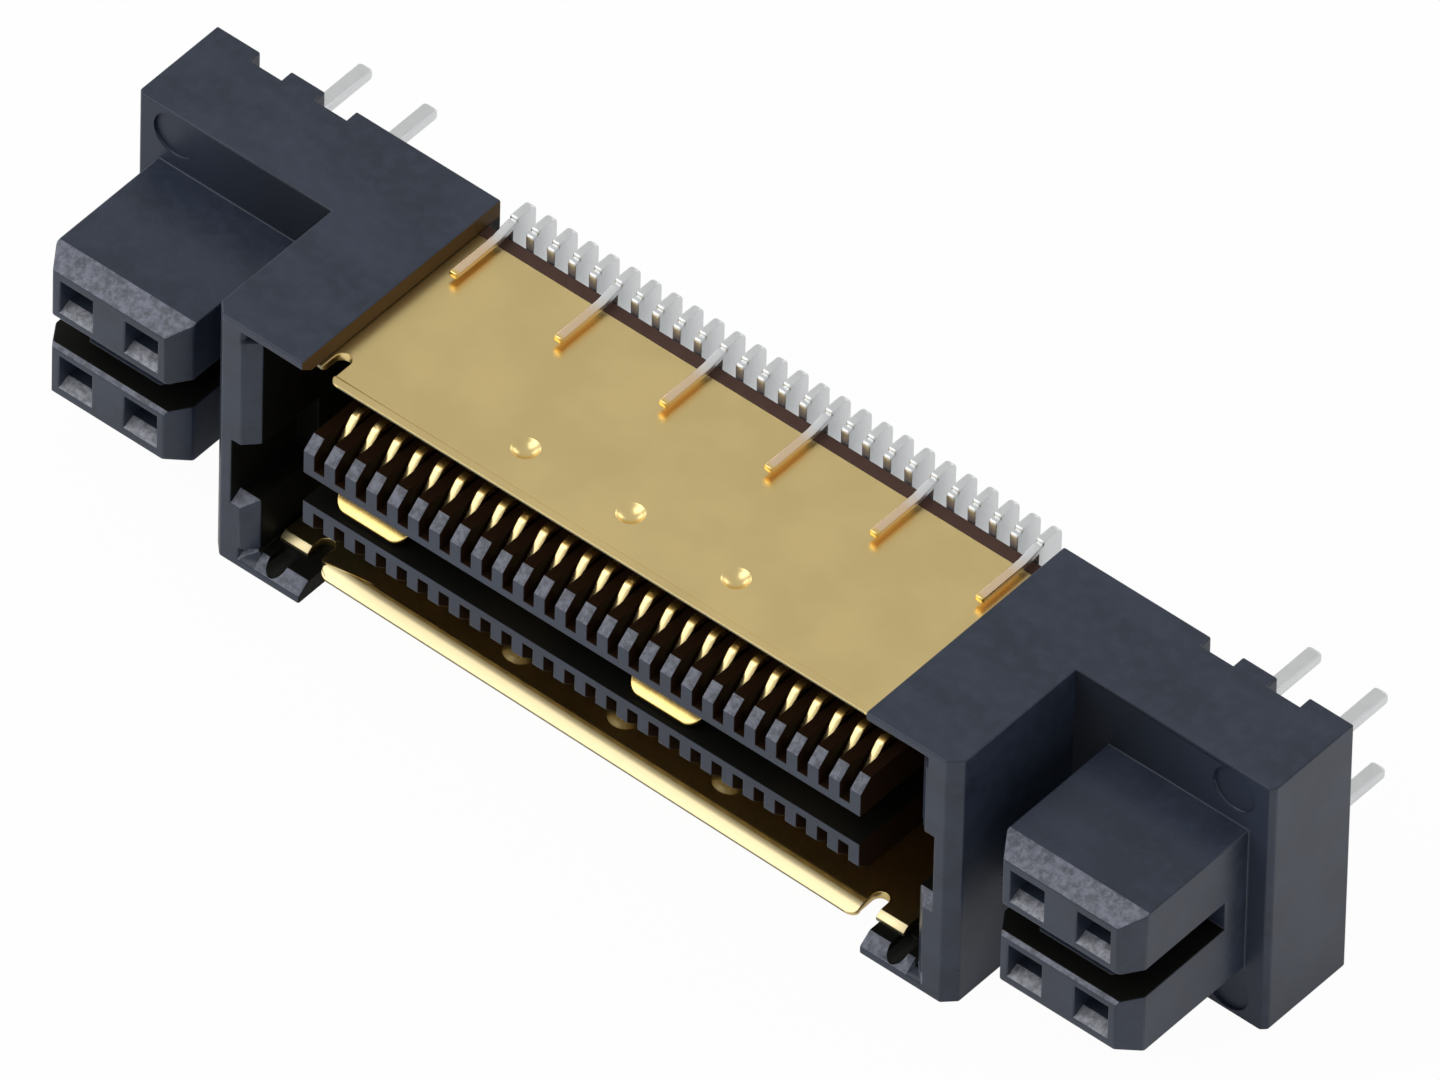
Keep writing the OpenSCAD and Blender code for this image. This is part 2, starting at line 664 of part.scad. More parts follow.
module power_contacts_left_upper() mirror([1, 0, 0]) power_pair(1);

module power_contacts_left_lower() mirror([1, 0, 0]) power_pair(-1);

module power_contacts_right_upper() power_pair(1);

module power_contacts_right_lower() power_pair(-1);

lying() housing();
lying() upper_shield();
lying() lower_shield();
lying() ground_plate();
lying() power_contacts_left_upper();
lying() power_contacts_left_lower();
lying() power_contacts_right_upper();
lying() power_contacts_right_lower();
for (i = [0 : contacts_per_row - 1]) {
    lying() upper_contact(i);
    lying() lower_contact(i);
}
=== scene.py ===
"""Straight shielded board-to-board connector on a white table.

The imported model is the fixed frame. The pieces here stand for its nodes with rounded edges,
formed sheet and plated finishes. Lengths are in metres: X along the contact rows, +Y to the
circuit board, -Y to the mating part, +Z up.
"""

from math import cos, pi, radians, sin

import bmesh
import bpy
from mathutils import Matrix, Vector


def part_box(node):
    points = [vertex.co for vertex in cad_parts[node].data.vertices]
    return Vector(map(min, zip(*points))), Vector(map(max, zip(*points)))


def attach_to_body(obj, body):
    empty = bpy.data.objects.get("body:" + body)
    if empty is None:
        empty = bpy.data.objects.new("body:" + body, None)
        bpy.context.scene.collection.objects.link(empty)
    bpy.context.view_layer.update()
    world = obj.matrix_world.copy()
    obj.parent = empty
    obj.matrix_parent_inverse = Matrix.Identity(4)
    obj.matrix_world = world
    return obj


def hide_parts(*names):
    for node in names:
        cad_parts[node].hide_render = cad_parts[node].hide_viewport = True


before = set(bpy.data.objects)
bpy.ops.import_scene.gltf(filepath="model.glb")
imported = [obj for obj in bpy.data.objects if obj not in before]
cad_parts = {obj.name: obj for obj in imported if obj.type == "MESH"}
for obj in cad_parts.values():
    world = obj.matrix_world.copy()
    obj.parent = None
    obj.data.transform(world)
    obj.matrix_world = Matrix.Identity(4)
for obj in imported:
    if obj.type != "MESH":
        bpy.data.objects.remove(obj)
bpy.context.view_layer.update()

bl_info = {
    "name": "Board-to-board connector",
    "version": (1, 0, 0),
    "blender": (4, 5, 0),
    "location": "View3D > Sidebar > Connector",
    "description": "Builds a shielded board-to-board connector around its packed CAD model",
    "category": "Object",
}

MM = 0.001
CONTACTS = 26
GROUND_EVERY = 5
PIN_LENGTH = 4.2 * MM
HOUSING_LOW, HOUSING_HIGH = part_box("housing")
MIDDLE_Z = (HOUSING_LOW.z + HOUSING_HIGH.z) / 2
BOARD_FACE_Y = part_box("power_contacts_left_upper")[1].y - PIN_LENGTH
FIRST_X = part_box("ground_contact_upper_01")[0].x
LAST_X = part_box(f"ground_contact_upper_{CONTACTS:02d}")[0].x
CONTACT_PITCH = (LAST_X - FIRST_X) / (CONTACTS - 1)
LIP_FRONT_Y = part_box("upper_shield")[0].y

# Zones of the part, in millimetres: ranges of the distance from the middle along X, of Y,
# and of the distance from the middle along Z
ALL = (-30, 30)
EVERYWHERE = (ALL, ALL, ALL)
ENDS = ((10.65, 30), ALL, ALL)
COMB_EDGES = ((-30, 10.65), ALL, ALL)
MOUTH = ((-30, 13.4), (-6.2, -0.9), (-30, 4.75))
COMBS = ((-30, 10.7), ALL, (0.8, 30))
LEDGES = ((-30, 10.8), (1.2, 30), ALL)
BEVELS = (ALL, (-30, -4), ALL)
SOCKETS = ((16, 20.2), (-6.52, 1.5), (0.95, 2.25))
BETWEEN_GUIDES = ((14, 30), (-6, -1.3), (-30, 0.7))
FLANGE_FRONTS = ((14, 30), (-1.5, -1), ALL)
FLANGE_CORNERS = ((14.1, 14.2), (-1.3, -1.2), ALL)
GROOVE_FLOORS = (ALL, (1.85, 1.95), (-30, 4.95))
LEAD_INS = ((11.4, 13.1), (-6.54, -5.3), (4.2, 30))
SHEET_FRONTS = (ALL, (-30, -5.2), ALL)
LIP = ((-30, 10.4), (-30, -5.39), ALL)
LIP_ENDS = ((9.9, 10.35), (-30, -5.5), ALL)
SLOPE_BACKS = (ALL, (-5.61, -5.59), (-30, 4.1))
FORMED_LIP = ((-30, 10.75), (-30, -5.35), ALL)
SPRINGS = (ALL, (-30, -1.2), ALL)
TAILS = (ALL, (-1, 30), ALL)

# Finishing of the lips: what is left of the depth of the slope, the rounding at its back, how
# much further the long end reaches, how far the upper lip moves to the front, and where and by
# how much the lower one turns
SLOPE_SHARE = 0.69
SLOPE_ROUNDING = 0.2 * MM
LONG_END_REACH = 0.35 * MM
UPPER_LIP_SHIFT = 0.08 * MM
LOWER_LIP_PIVOT = (10.3 * MM, LIP_FRONT_Y, 0)
LOWER_LIP_TURN = 0.27 / 20.6

# Faces that look almost straight along an axis, and those that are sharp to their neighbour
FLAT = 0.9
SHARP = radians(30)

# Soft lamps: direction, distance and size in metres, and radiance, where 1 is white
LAMPS = {
    "key": ((-0.48, -0.47, 0.74), 0.3, (0.2, 0.28), 1.6),
    "back": ((0.03, 0.93, 0.36), 0.4, (0.16, 0.16), 1.5),
    "left": ((-0.92, 0.15, 0.36), 0.4, (0.16, 0.16), 1.5),
}
SKY = 0.55
TABLE_SEEN_WHITE = 0.97
TABLE_MIRRORED_WHITE = 0.35

# Middle of the picture, from the middle of the top of the board face
AIM_RIGHT = -1.795 * MM
AIM_UP = -4.855 * MM


def in_zone(point, zone):
    """True for a point in a zone."""
    place = (abs(point.x), point.y, abs(point.z - MIDDLE_Z))
    return all(low * MM < value < high * MM for value, (low, high) in zip(place, zone))


# Sizes and colours that a user would change


def colour(name, text, default):
    """A colour property, in linear light."""
    return bpy.props.FloatVectorProperty(
        name=name, description=text, subtype="COLOR", size=3, min=0, max=1, default=default
    )


def length(name, text, default):
    """A length property in metres."""
    return bpy.props.FloatProperty(
        name=name, description=text, unit="LENGTH", subtype="DISTANCE",
        precision=5, min=0, default=default
    )


def share(name, text, default):
    """A property between 0 and 1."""
    return bpy.props.FloatProperty(
        name=name, description=text, subtype="FACTOR", min=0, max=1, default=default
    )


def angle(name, text, degrees):
    """An angle property, given in degrees."""
    return bpy.props.FloatProperty(
        name=name, description=text, subtype="ANGLE", default=radians(degrees)
    )


class HousingSettings(bpy.types.PropertyGroup):
    """Moulded housing."""

    plastic: colour("Plastic", "Colour of the moulded housing", (0.028, 0.037, 0.06))
    # Frosted: the eroded mould texture, made paler to paint in the highlight of the key lamp on the
    # bevels
    frosted_and_highlight: colour("Frosted plastic", "Colour of the eroded bevels and ledges", (0.15, 0.16, 0.2))
    # Shade: a painted shade, near black, for the plastic deep in the mouth and in the slot between the
    # guides
    shade: colour("Shade", "Colour of the plastic deep inside the mouth", (0.007, 0.007, 0.006))
    # Glow: painted light, the warm bounce of the gold sheet on the comb faces
    painted_gold_bounce: colour("Glow", "Colour of the comb faces that the gold sheet lights", (0.02, 0.009, 0.004))
    # Ledge: painted shade in the warm brown of the gold shield's light, on the strip between shield and
    # feet
    ledge: colour("Ledge", "Colour of the plastic between shield and feet", (0.085, 0.046, 0.036))
    # Amber: a painted reflection of the gold shields on the block walls beside them
    painted_gold_reflection: colour("Amber", "Colour of the block walls that the shields light", (0.1, 0.056, 0.02))
    # Ramp: a painted highlight, pale and speckled, on the lower ramps inside the power sockets
    ramp_highlight: colour("Ramp", "Colour of the scuffed ramps in the power sockets", (0.29, 0.3, 0.34))
    # Sheltered: a painted shade on the flange fronts, darkest beside the blocks
    painted_flange_shade: colour("Sheltered", "Colour of the flange fronts beside the blocks", (0.016, 0.02, 0.03))
    gloss: share("Gloss", "Specular level of the plastic", 0.42)
    roughness: share("Roughness", "Roughness of the smooth mould faces", 0.33)
    edge: length("Edge radius", "Rounding of the outer moulded edges", 0.06 * MM)
    comb_edge: length("Comb edge radius", "Rounding of the edges of the contact combs", 0.025 * MM)
    grain: length("Grain", "Size of the mould texture", 0.09 * MM)


class SheetSettings(bpy.types.PropertyGroup):
    """Formed shields and ground plate."""

    gold: colour("Gold", "Colour of the plating on the shields", (0.9, 0.7, 0.315))
    sheared: colour("Sheared edge", "Colour of the cut front edges", (0.34, 0.31, 0.2))
    # Pressed gold: paler plating on the pressed slopes and contact springs, partly a painted highlight
    pressed_and_highlight: colour("Pressed gold", "Colour of the plating on pressed edges", (0.98, 0.84, 0.5))
    deep_gold: colour("Deep gold", "Colour of the contacts and ground plate", (0.95, 0.68, 0.24))
    roughness: share("Roughness", "Roughness of the plated sheet", 0.3)
    edge: length("Edge radius", "Rounding of the sheared edges", 0.02 * MM)


class ContactSettings(bpy.types.PropertyGroup):
    """Signal, ground and power contacts."""

    tin: colour("Tin", "Colour of the solder plating", (0.86, 0.875, 0.88))
    rose: colour("Rose", "Colour of the thin plating on the arms over the shield", (0.97, 0.73, 0.48))
    roughness: share("Roughness", "Roughness of the contact plating", 0.26)
    edge: length("Edge radius", "Rounding of the stamped edges", 0.05 * MM)
    crown: length("Crown radius", "Rounding along the bowed arms", 0.05 * MM)
    gold_end: length("End of gold", "Place along Y at which gold gives way to tin", 1.1 * MM)
    power_gold_end: length("End of gold, power", "The same place on the power contacts", 0.5 * MM)


class StageSettings(bpy.types.PropertyGroup):
    """Camera, lights and table."""

    azimuth: angle("Azimuth", "Camera angle round the part", 39.264)
    elevation: angle("Elevation", "Camera angle above the table", 45.528)
    roll: angle("Roll", "Camera roll", 1.446)
    distance: length("Distance", "Distance from the camera to the part", 1402 * MM)
    lens: bpy.props.FloatProperty(
        name="Lens", description="Focal length in millimetres", min=1, default=1207.92
    )
    table: colour("Table", "Colour of the table", (0.9, 0.9, 0.9))


# Materials


class Wire:
    """One output of a material's nodes. Arithmetic on it adds Math nodes."""

    def __init__(self, finish, socket):
        self.finish = finish
        self.socket = socket

    def math(self, operation, *values):
        return self.finish.node("ShaderNodeMath", {"operation": operation}, dict(enumerate(values)))

    def __add__(self, other):
        return self.math("ADD", self, other)

    def __sub__(self, other):
        return self.math("SUBTRACT", self, other)

    def __rsub__(self, other):
        return self.math("SUBTRACT", other, self)

    def __mul__(self, other):
        return self.math("MULTIPLY", self, other)

    def __abs__(self):
        return self.math("ABSOLUTE", self)

    __radd__ = __add__
    __rmul__ = __mul__

    def step(self, low, high):
        """0 below low, 1 above high and smooth between them."""
        return self.finish.node(
            "ShaderNodeMapRange",
            {"interpolation_type": "SMOOTHSTEP"},
            {"Value": self, "From Min": low, "From Max": high},
        )

    def swing(self, amount):
        """A share of the amount to either side of 0, for a noise."""
        return (self - 0.5) * amount

    def clamped(self):
        """Kept between 0 and 1."""
        return self.finish.node("ShaderNodeClamp", {}, {"Value": self})


class Finish:
    """A material with one Principled shader, built node by node."""

    def __init__(self, name):
        self.material = bpy.data.materials.new(name)
        self.material.use_nodes = True
        self.tree = self.material.node_tree
        self.tree.nodes.clear()
        self.place = self.node("ShaderNodeTexCoord", {}, {}, "Object")

    def node(self, kind, settings, inputs, output=0):
        """Adds a node, with its settings first and then the values or links of its sockets."""
        node = self.tree.nodes.new(kind)
        for name, value in settings.items():
            setattr(node, name, value)
        for name, value in inputs.items():
            if isinstance(value, Wire):
                self.tree.links.new(value.socket, node.inputs[name])
            else:
                node.inputs[name].default_value = value
        return None if output is None else Wire(self, node.outputs[output])

    def axis(self, name):
        """One coordinate of the point being shaded."""
        return self.node("ShaderNodeSeparateXYZ", {}, {"Vector": self.place}, name)

    def noise(self, size, detail=2, stretch=(1, 1, 1), roughness=0.5):
        """Noise between 0 and 1 with features of the given size, stretched along the axes."""
        spread = self.node("ShaderNodeMapping", {}, {"Vector": self.place, "Scale": stretch})
        return self.node(
            "ShaderNodeTexNoise",
            {},
            {"Vector": spread, "Scale": 1 / size, "Detail": detail, "Roughness": roughness},
            "Fac",
        )

    def mix(self, factor, a, b):
        """Colour a where factor is 0 and b where it is 1."""
        opaque = [v if isinstance(v, Wire) else (*v, 1) for v in (a, b)]
        values = {0: factor, 6: opaque[0], 7: opaque[1]}
        return self.node("ShaderNodeMix", {"data_type": "RGBA"}, values, 2)

    def clouds(self, noise, base, dark, light):
        """The colour base, darker and lighter in clouds."""
        return self.mix(noise.step(0.3, 0.7), base * dark, base * light)

    def bump(self, height, depth, strength):
        """Relief of the given depth."""
        values = {"Height": height, "Distance": depth, "Strength": strength}
        return self.node("ShaderNodeBump", {}, values, "Normal")

    def shade(self, **inputs):
        """Ends the material with a Principled shader; underscores stand for spaces."""
        named = {name.replace("_", " "): value for name, value in inputs.items()}
        return self.close(self.node("ShaderNodeBsdfPrincipled", {}, named))

    def close(self, surface):
        """Joins the last shader to the material's output."""
        self.node("ShaderNodeOutputMaterial", {}, {"Surface": surface}, None)
        return self.material


def moulded_plastic(settings):
    """Dark blue-black moulded plastic with a fine grain, scuffed patches and faint flow marks."""
    finish = Finish("moulded_plastic")
    grain = finish.noise(settings.grain, 3)
    flow = finish.noise(1.6 * MM, 2, (0.35, 1, 1))
    patch = finish.noise(0.45 * MM, 4, roughness=0.6)
    base = Vector(settings.plastic)
    tone = finish.clouds(flow, base, 0.8, 1.15)
    tone = finish.mix(patch.step(0.4, 0.7) * 0.35, tone, base * 1.6)
    tone = finish.mix(grain.step(0.64, 0.76) * 0.3, tone, base * 2.4)
    return finish.shade(
        Base_Color=tone,
        Specular_IOR_Level=settings.gloss,
        Roughness=(settings.roughness + patch.swing(0.25) + grain.swing(0.1)).clamped(),
        Normal=finish.bump(grain, 0.004 * MM, 0.5),
    )


def frosted_highlight_plastic(name, tone, grain):
    """The same plastic where the mould is eroded or scuffed: speckled, and paler as a painted highlight
    of the key lamp.
    """
    finish = Finish(name)
    speck = finish.noise(grain * 2.5, 5, roughness=0.7)
    base = Vector(tone)
    return finish.shade(
        Base_Color=finish.mix(speck.step(0.35, 0.65), base * 0.62, base * 1.4),
        Roughness=(0.55 + speck.swing(0.3)).clamped(),
        Normal=finish.bump(speck, 0.02 * MM, 0.6),
    )


def shaded_plastic(finish, tone):
    """Plastic where hardly any light comes back out, for colours that paint in shade and light."""
    return finish.shade(Base_Color=tone, Specular_IOR_Level=0.1, Roughness=0.5)


def mouth_shade_plastic(settings):
    """Plastic in the mouth in a painted shade, brown where a painted reflection of a shield's gold lies
    on the wall beside it.
    """
    finish = Finish("mouth_shade_plastic")
    # Painted reflection: the strip of wall above the upper shield and within its width turns amber
    above_sheet = finish.axis("Z").step(MIDDLE_Z + 4.35 * MM, MIDDLE_Z + 4.45 * MM)
    beside_sheet = 1 - abs(finish.axis("X")).step(10.8 * MM, 10.9 * MM)
    lit = above_sheet * beside_sheet
    return shaded_plastic(finish, finish.mix(lit, Vector(settings.shade), Vector(settings.painted_gold_reflection)))


def flange_shade_plastic(settings):
    """The fronts of the flanges in a painted shade, darkest in the corner beside the blocks."""
    finish = Finish("flange_shade_plastic")
    outwards = abs(finish.axis("X")).step(15 * MM, 21 * MM)
    tone = finish.mix(outwards, Vector(settings.painted_flange_shade), Vector(settings.plastic) * 1.1)
    return finish.shade(Base_Color=tone, Specular_IOR_Level=0.3, Roughness=0.45)


def plated_sheet(settings):
    """Satin gold plating on the rolled sheet of the shields."""
    finish = Finish("plated_sheet")
    cloud = finish.noise(2.2 * MM, 2)
    rolled = finish.noise(0.05 * MM, 2, (1, 0.06, 1))
    return finish.shade(
        Base_Color=finish.clouds(cloud, Vector(settings.gold), 0.95, 1.03),
        Metallic=1.0,
        Roughness=(settings.roughness + cloud.swing(0.05) + rolled.swing(0.06)).clamped(),
        Normal=finish.bump(rolled, 0.0004 * MM, 0.4),
    )


def worked_gold(name, tone):
    """The same plating on pressed and sheared edges, duller; the paler gold of the pressed slopes is
    partly a painted highlight.
    """
    return Finish(name).shade(Base_Color=(*tone, 1), Metallic=1.0, Roughness=0.45)


def contact_gold(settings):
    """Bright hard gold of the ground plate."""
    finish = Finish("contact_gold")
    cloud = finish.noise(0.5 * MM, 2)
    return finish.shade(
        Base_Color=finish.clouds(cloud, Vector(settings.deep_gold), 0.92, 1.04),
        Metallic=1.0,
        Roughness=(0.2 + cloud.swing(0.08)).clamped(),
    )


def plated_contact(name, sheet, contact, gold_end):
    """Contact metal: gold on the spring, palest at its tip with a painted highlight, then rose, and tin
    towards the board.
    """
    finish = Finish(name)
    cloud = finish.noise(0.35 * MM, 2)
    along = finish.axis("Y") + cloud.swing(0.25 * MM)
    # Towards the tip the spring is half the paler gold, a painted highlight
    bowed = along.step(-3.4 * MM, -2.8 * MM) * 0.5 + 0.5
    backed = along.step(-0.6 * MM, -0.4 * MM)
    tinned = along.step(gold_end - 0.5 * MM, gold_end + 0.5 * MM)
    spring = finish.mix(bowed, Vector(sheet.pressed_and_highlight), Vector(sheet.deep_gold))
    gold = finish.mix(backed, spring, Vector(contact.rose))
    tin = finish.clouds(cloud, Vector(contact.tin), 0.98, 1.01)
    return finish.shade(
        Base_Color=finish.mix(tinned, gold, tin),
        Metallic=1.0,
        Roughness=(contact.roughness + cloud.swing(0.06) + tinned * 0.16).clamped(),
    )


# Modelling


def only(*objects):
    """Selects these objects and nothing else; the last one is active."""
    if bpy.context.object and bpy.context.object.mode != "OBJECT":
        bpy.ops.object.mode_set(mode="OBJECT")
    bpy.ops.object.select_all(action="DESELECT")
    for obj in objects:
        obj.select_set(True)
        bpy.context.view_layer.objects.active = obj


def copy_of_node(node, name):
    """A welded copy of a node, without the edges inside its flat faces."""
    obj = bpy.data.objects.new(name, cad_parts[node].data.copy())
    bpy.context.scene.collection.objects.link(obj)
    obj.data.materials.clear()
    only(obj)
    bpy.ops.object.mode_set(mode="EDIT")
    bpy.ops.mesh.select_all(action="SELECT")
    bpy.ops.mesh.remove_doubles(threshold=0.0005 * MM)
    bpy.ops.mesh.dissolve_limited(angle_limit=radians(0.5))
    bpy.ops.object.mode_set(mode="OBJECT")
    return obj


def reach(face, edge):
    """How far a face reaches to the side of one of its edges."""
    start, end = (vert.co for vert in edge.verts)
    along = (end - start).normalized()
    return max((vert.co - start - (vert.co - start).project(along)).length for vert in face.verts)


def round_edges(obj, radius, zone=EVERYWHERE, spared=(), segments=2, room=2.4):
    """Rounds the sharp edges of a zone that have room for it and no middle in a spared zone."""
    only(obj)
    bpy.ops.object.mode_set(mode="EDIT")
    bpy.ops.mesh.select_mode(type="EDGE")
    bpy.ops.mesh.select_all(action="DESELECT")
    mesh = bmesh.from_edit_mesh(obj.data)
    for edge in mesh.edges:
        if len(edge.link_faces) == 2 and edge.calc_face_angle() > SHARP:
            start, end = (vert.co for vert in edge.verts)
            middle = (start + end) / 2
            wanted = in_zone(start, zone) and in_zone(end, zone)
            wanted = wanted and not any(in_zone(middle, tight) for tight in spared)
            wanted = wanted and all(reach(face, edge) > room * radius for face in edge.link_faces)
            edge.select_set(wanted)
    bmesh.update_edit_mesh(obj.data)
    bpy.ops.mesh.bevel(offset=radius, segments=segments, affect="EDGES", clamp_overlap=False)
    bpy.ops.object.mode_set(mode="OBJECT")


def smooth(obj):
    """Smooth shading over the rounded edges, with the large faces kept flat."""
    only(obj)
    bpy.ops.object.shade_smooth_by_angle(angle=radians(35))
    weighted = obj.modifiers.new("flat_faces", "WEIGHTED_NORMAL")
    weighted.keep_sharp = True
    bpy.ops.object.modifier_apply(modifier=weighted.name)


def duplicate(obj, name, matrix):
    """A copy with its own mesh, moved by a matrix; a mirrored one is turned right side out."""
    twin = bpy.data.objects.new(name, obj.data.copy())
    bpy.context.scene.collection.objects.link(twin)
    twin.data.transform(matrix)
    if matrix.determinant() < 0:
        twin.data.flip_normals()
    return twin


def attach(obj, slot, *nodes):
    """Puts a finished piece on the part's body in place of its nodes."""
    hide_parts(*nodes)
    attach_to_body(obj, "root")


def mirrored_row():
    """Maps the upper row to the lower row."""
    return Matrix.Translation((0, 0, 2 * MIDDLE_Z)) @ Matrix.Scale(-1, 4, (0, 0, 1))


def contact_names(row):
    """Names of the nodes of one row, in order along X."""
    kinds = ["ground" if i % GROUND_EVERY == 0 else "signal" for i in range(CONTACTS)]
    return [f"{kind}_contact_{row}_{i + 1:02d}" for i, kind in enumerate(kinds)]


class BuildHousing(bpy.types.Operator):
    """Moulded housing with rounded edges, eroded bevels with a painted highlight, and painted shade and
    light in its hollows
    """

    bl_idname = "connector.housing"
    bl_label = "Housing"

    def execute(self, context):
        settings = context.scene.connector_housing
        obj = copy_of_node("housing", "moulded_housing")
        for finish in (
            moulded_plastic(settings),
            frosted_highlight_plastic("frosted_highlight_plastic", settings.frosted_and_highlight, settings.grain),
            # These finishes paint shade and light into their colour: shade in the mouth, warm light on
            # the ledge and combs, shade on the flange fronts, a highlight on the socket ramps
            mouth_shade_plastic(settings),
            shaded_plastic(Finish("ledge_shade_plastic"), (*settings.ledge, 1)),
            shaded_plastic(Finish("comb_bounce_plastic"), (*settings.painted_gold_bounce, 1)),
            flange_shade_plastic(settings),
            frosted_highlight_plastic("ramp_plastic", settings.ramp_highlight, settings.grain),
        ):
            obj.data.materials.append(finish)
        for face in obj.data.polygons:
            face.material_index = self.finish_of(face)
        tight = (GROOVE_FLOORS, SOCKETS, FLANGE_CORNERS, LEAD_INS)
        round_edges(obj, settings.edge, ENDS, tight)
        round_edges(obj, settings.comb_edge, COMB_EDGES)
        smooth(obj)
        attach(obj, "housing_plastic", "housing")
        return {"FINISHED"}

    def finish_of(self, face):
        """Number of the finish of a face, in the order of execute."""
        # The finish dark is the painted shade of the mouth and of the slot between the guides
        moulded, frosted_and_highlight, dark, ledge, comb, painted_flange_shade, ramp_highlight = range(7)
        n = face.normal
        # Bevels that look to the front take the frosted colour, paler as a painted highlight of the key
        # lamp
        if in_zone(face.center, BEVELS) and abs(n.x) < 0.2 and n.y < -0.3 and abs(n.z) > 0.3:
            # Ramps inside the power sockets take a brighter painted highlight
            return ramp_highlight if in_zone(face.center, SOCKETS) else frosted_and_highlight
        # In the mouth the combs take the painted bounce of the gold sheet, the rest the painted shade
        if in_zone(face.center, MOUTH):
            return comb if in_zone(face.center, COMBS) else dark
        # The slot between the guides takes the same painted shade
        if abs(n.z) > FLAT and in_zone(face.center, BETWEEN_GUIDES):
            return dark
        # The flat strip between shield and feet takes the painted brown shade
        if abs(n.z) > FLAT and in_zone(face.center, LEDGES):
            return ledge
        # Flange fronts take the painted shade of the corner
        if n.y < -FLAT and in_zone(face.center, FLANGE_FRONTS):
            return painted_flange_shade
        return moulded


class BuildSheets(bpy.types.Operator):
    """Both formed shields and the ground plate between the combs"""

    bl_idname = "connector.sheets"
    bl_label = "Shields and ground plate"

    def execute(self, context):
        settings = context.scene.connector_sheet
        finishes = (
            plated_sheet(settings),
            worked_gold("pressed_gold", settings.pressed_and_highlight),
            worked_gold("sheared_gold", settings.sheared),
        )
        for row, long_end in (("upper", 1), ("lower", -1)):
            obj = copy_of_node(f"{row}_shield", f"formed_shield_{row}")
            for finish in finishes:
                obj.data.materials.append(finish)
            self.form_lip(obj, long_end)
            for face in obj.data.polygons:
                # Sheet faces that look partly to the front take the paler gold, partly a painted
                # highlight; those that look straight to the front take the sheared colour
                in_front = face.normal.y < -0.3 and in_zone(face.center, SHEET_FRONTS)
                if in_front and face.area > 0.1 * MM**2:
                    face.material_index = 1 if face.normal.y > -FLAT else 2
            round_edges(obj, settings.edge)
            smooth(obj)
            attach(obj, "shield_sheet", f"{row}_shield")
        plate = copy_of_node("ground_plate", "fingered_ground_plate")
        plate.data.materials.append(contact_gold(settings))
        round_edges(plate, settings.edge)
        smooth(plate)
        attach(plate, "plate_sheet", "ground_plate")
        return {"FINISHED"}

    def form_lip(self, obj, long_end):
        """Finishes the lip: a steeper slope with a rounded back, and more reach at its long end."""
        only(obj)
        bpy.ops.object.mode_set(mode="EDIT")
        bpy.ops.mesh.select_mode(type="VERT")
        self.pick(obj, LIP)
        bpy.ops.transform.resize(value=(1, SLOPE_SHARE, 1), center_override=(0, LIP_FRONT_Y, 0))
        self.pick(obj, LIP_ENDS, long_end)
        bpy.ops.transform.translate(value=(LONG_END_REACH * long_end, 0, 0))
        self.pick(obj, SLOPE_BACKS)
        bpy.ops.mesh.bevel(offset=SLOPE_ROUNDING, segments=6, affect="EDGES", clamp_overlap=False)
        self.pick(obj, FORMED_LIP)
        if long_end < 0:
            bpy.ops.transform.rotate(
                value=LOWER_LIP_TURN, orient_axis="Z", center_override=LOWER_LIP_PIVOT
            )
        else:
            bpy.ops.transform.translate(value=(0, -UPPER_LIP_SHIFT, 0))
        bpy.ops.object.mode_set(mode="OBJECT")

    def pick(self, obj, zone, end=0):
        """Selects the points of a zone, at one end or both, with the edges between them."""
        mesh = bmesh.from_edit_mesh(obj.data)
        for vert in mesh.verts:
            vert.select_set(in_zone(vert.co, zone) and vert.co.x * end >= 0)
        mesh.select_flush_mode()
        bmesh.update_edit_mesh(obj.data)


class BuildContacts(bpy.types.Operator):
    """Both rows of signal and ground contacts"""

    bl_idname = "connector.contacts"
    bl_label = "Signal and ground contacts"

    def execute(self, context):
        settings = context.scene.connector_contact
        sheet = context.scene.connector_sheet
        finish = plated_contact("contact_plating", sheet, settings, settings.gold_end)
        names = contact_names("upper")
        models = {}
        for index in (GROUND_EVERY, GROUND_EVERY + 1):
            model = copy_of_node(names[index], "blade_model")
            model.data.materials.append(finish)
            round_edges(model, settings.crown, SPRINGS, segments=3)
            round_edges(model, settings.edge, TAILS)
            smooth(model)
            models[names[index].split("_")[0]] = (model, index)
        for row, mirror in (("upper", Matrix()), ("lower", mirrored_row())):
            for index, name in enumerate(contact_names(row)):
                model, origin = models[name.split("_")[0]]
                move = mirror @ Matrix.Translation(((index - origin) * CONTACT_PITCH, 0, 0))
                blade = duplicate(model, f"blade_{row}_{index + 1:02d}", move)
                attach(blade, "contact_metal", name)
        for model, _ in models.values():
            bpy.data.objects.remove(model)
        return {"FINISHED"}


class BuildPowerContacts(bpy.types.Operator):
    """Power contacts with their board pins"""

    bl_idname = "connector.power_contacts"
    bl_label = "Power contacts"

    def execute(self, context):
        settings = context.scene.connector_contact
        sheet = context.scene.connector_sheet
        finish = plated_contact("power_plating", sheet, settings, settings.power_gold_end)
        for side in ("left", "right"):
            for row in ("upper", "lower"):
                node = f"power_contacts_{side}_{row}"
                obj = copy_of_node(node, f"power_blades_{side}_{row}")
                obj.data.materials.append(finish)
                round_edges(obj, settings.edge)
                smooth(obj)
                attach(obj, "power_contact_metal", node)
        return {"FINISHED"}


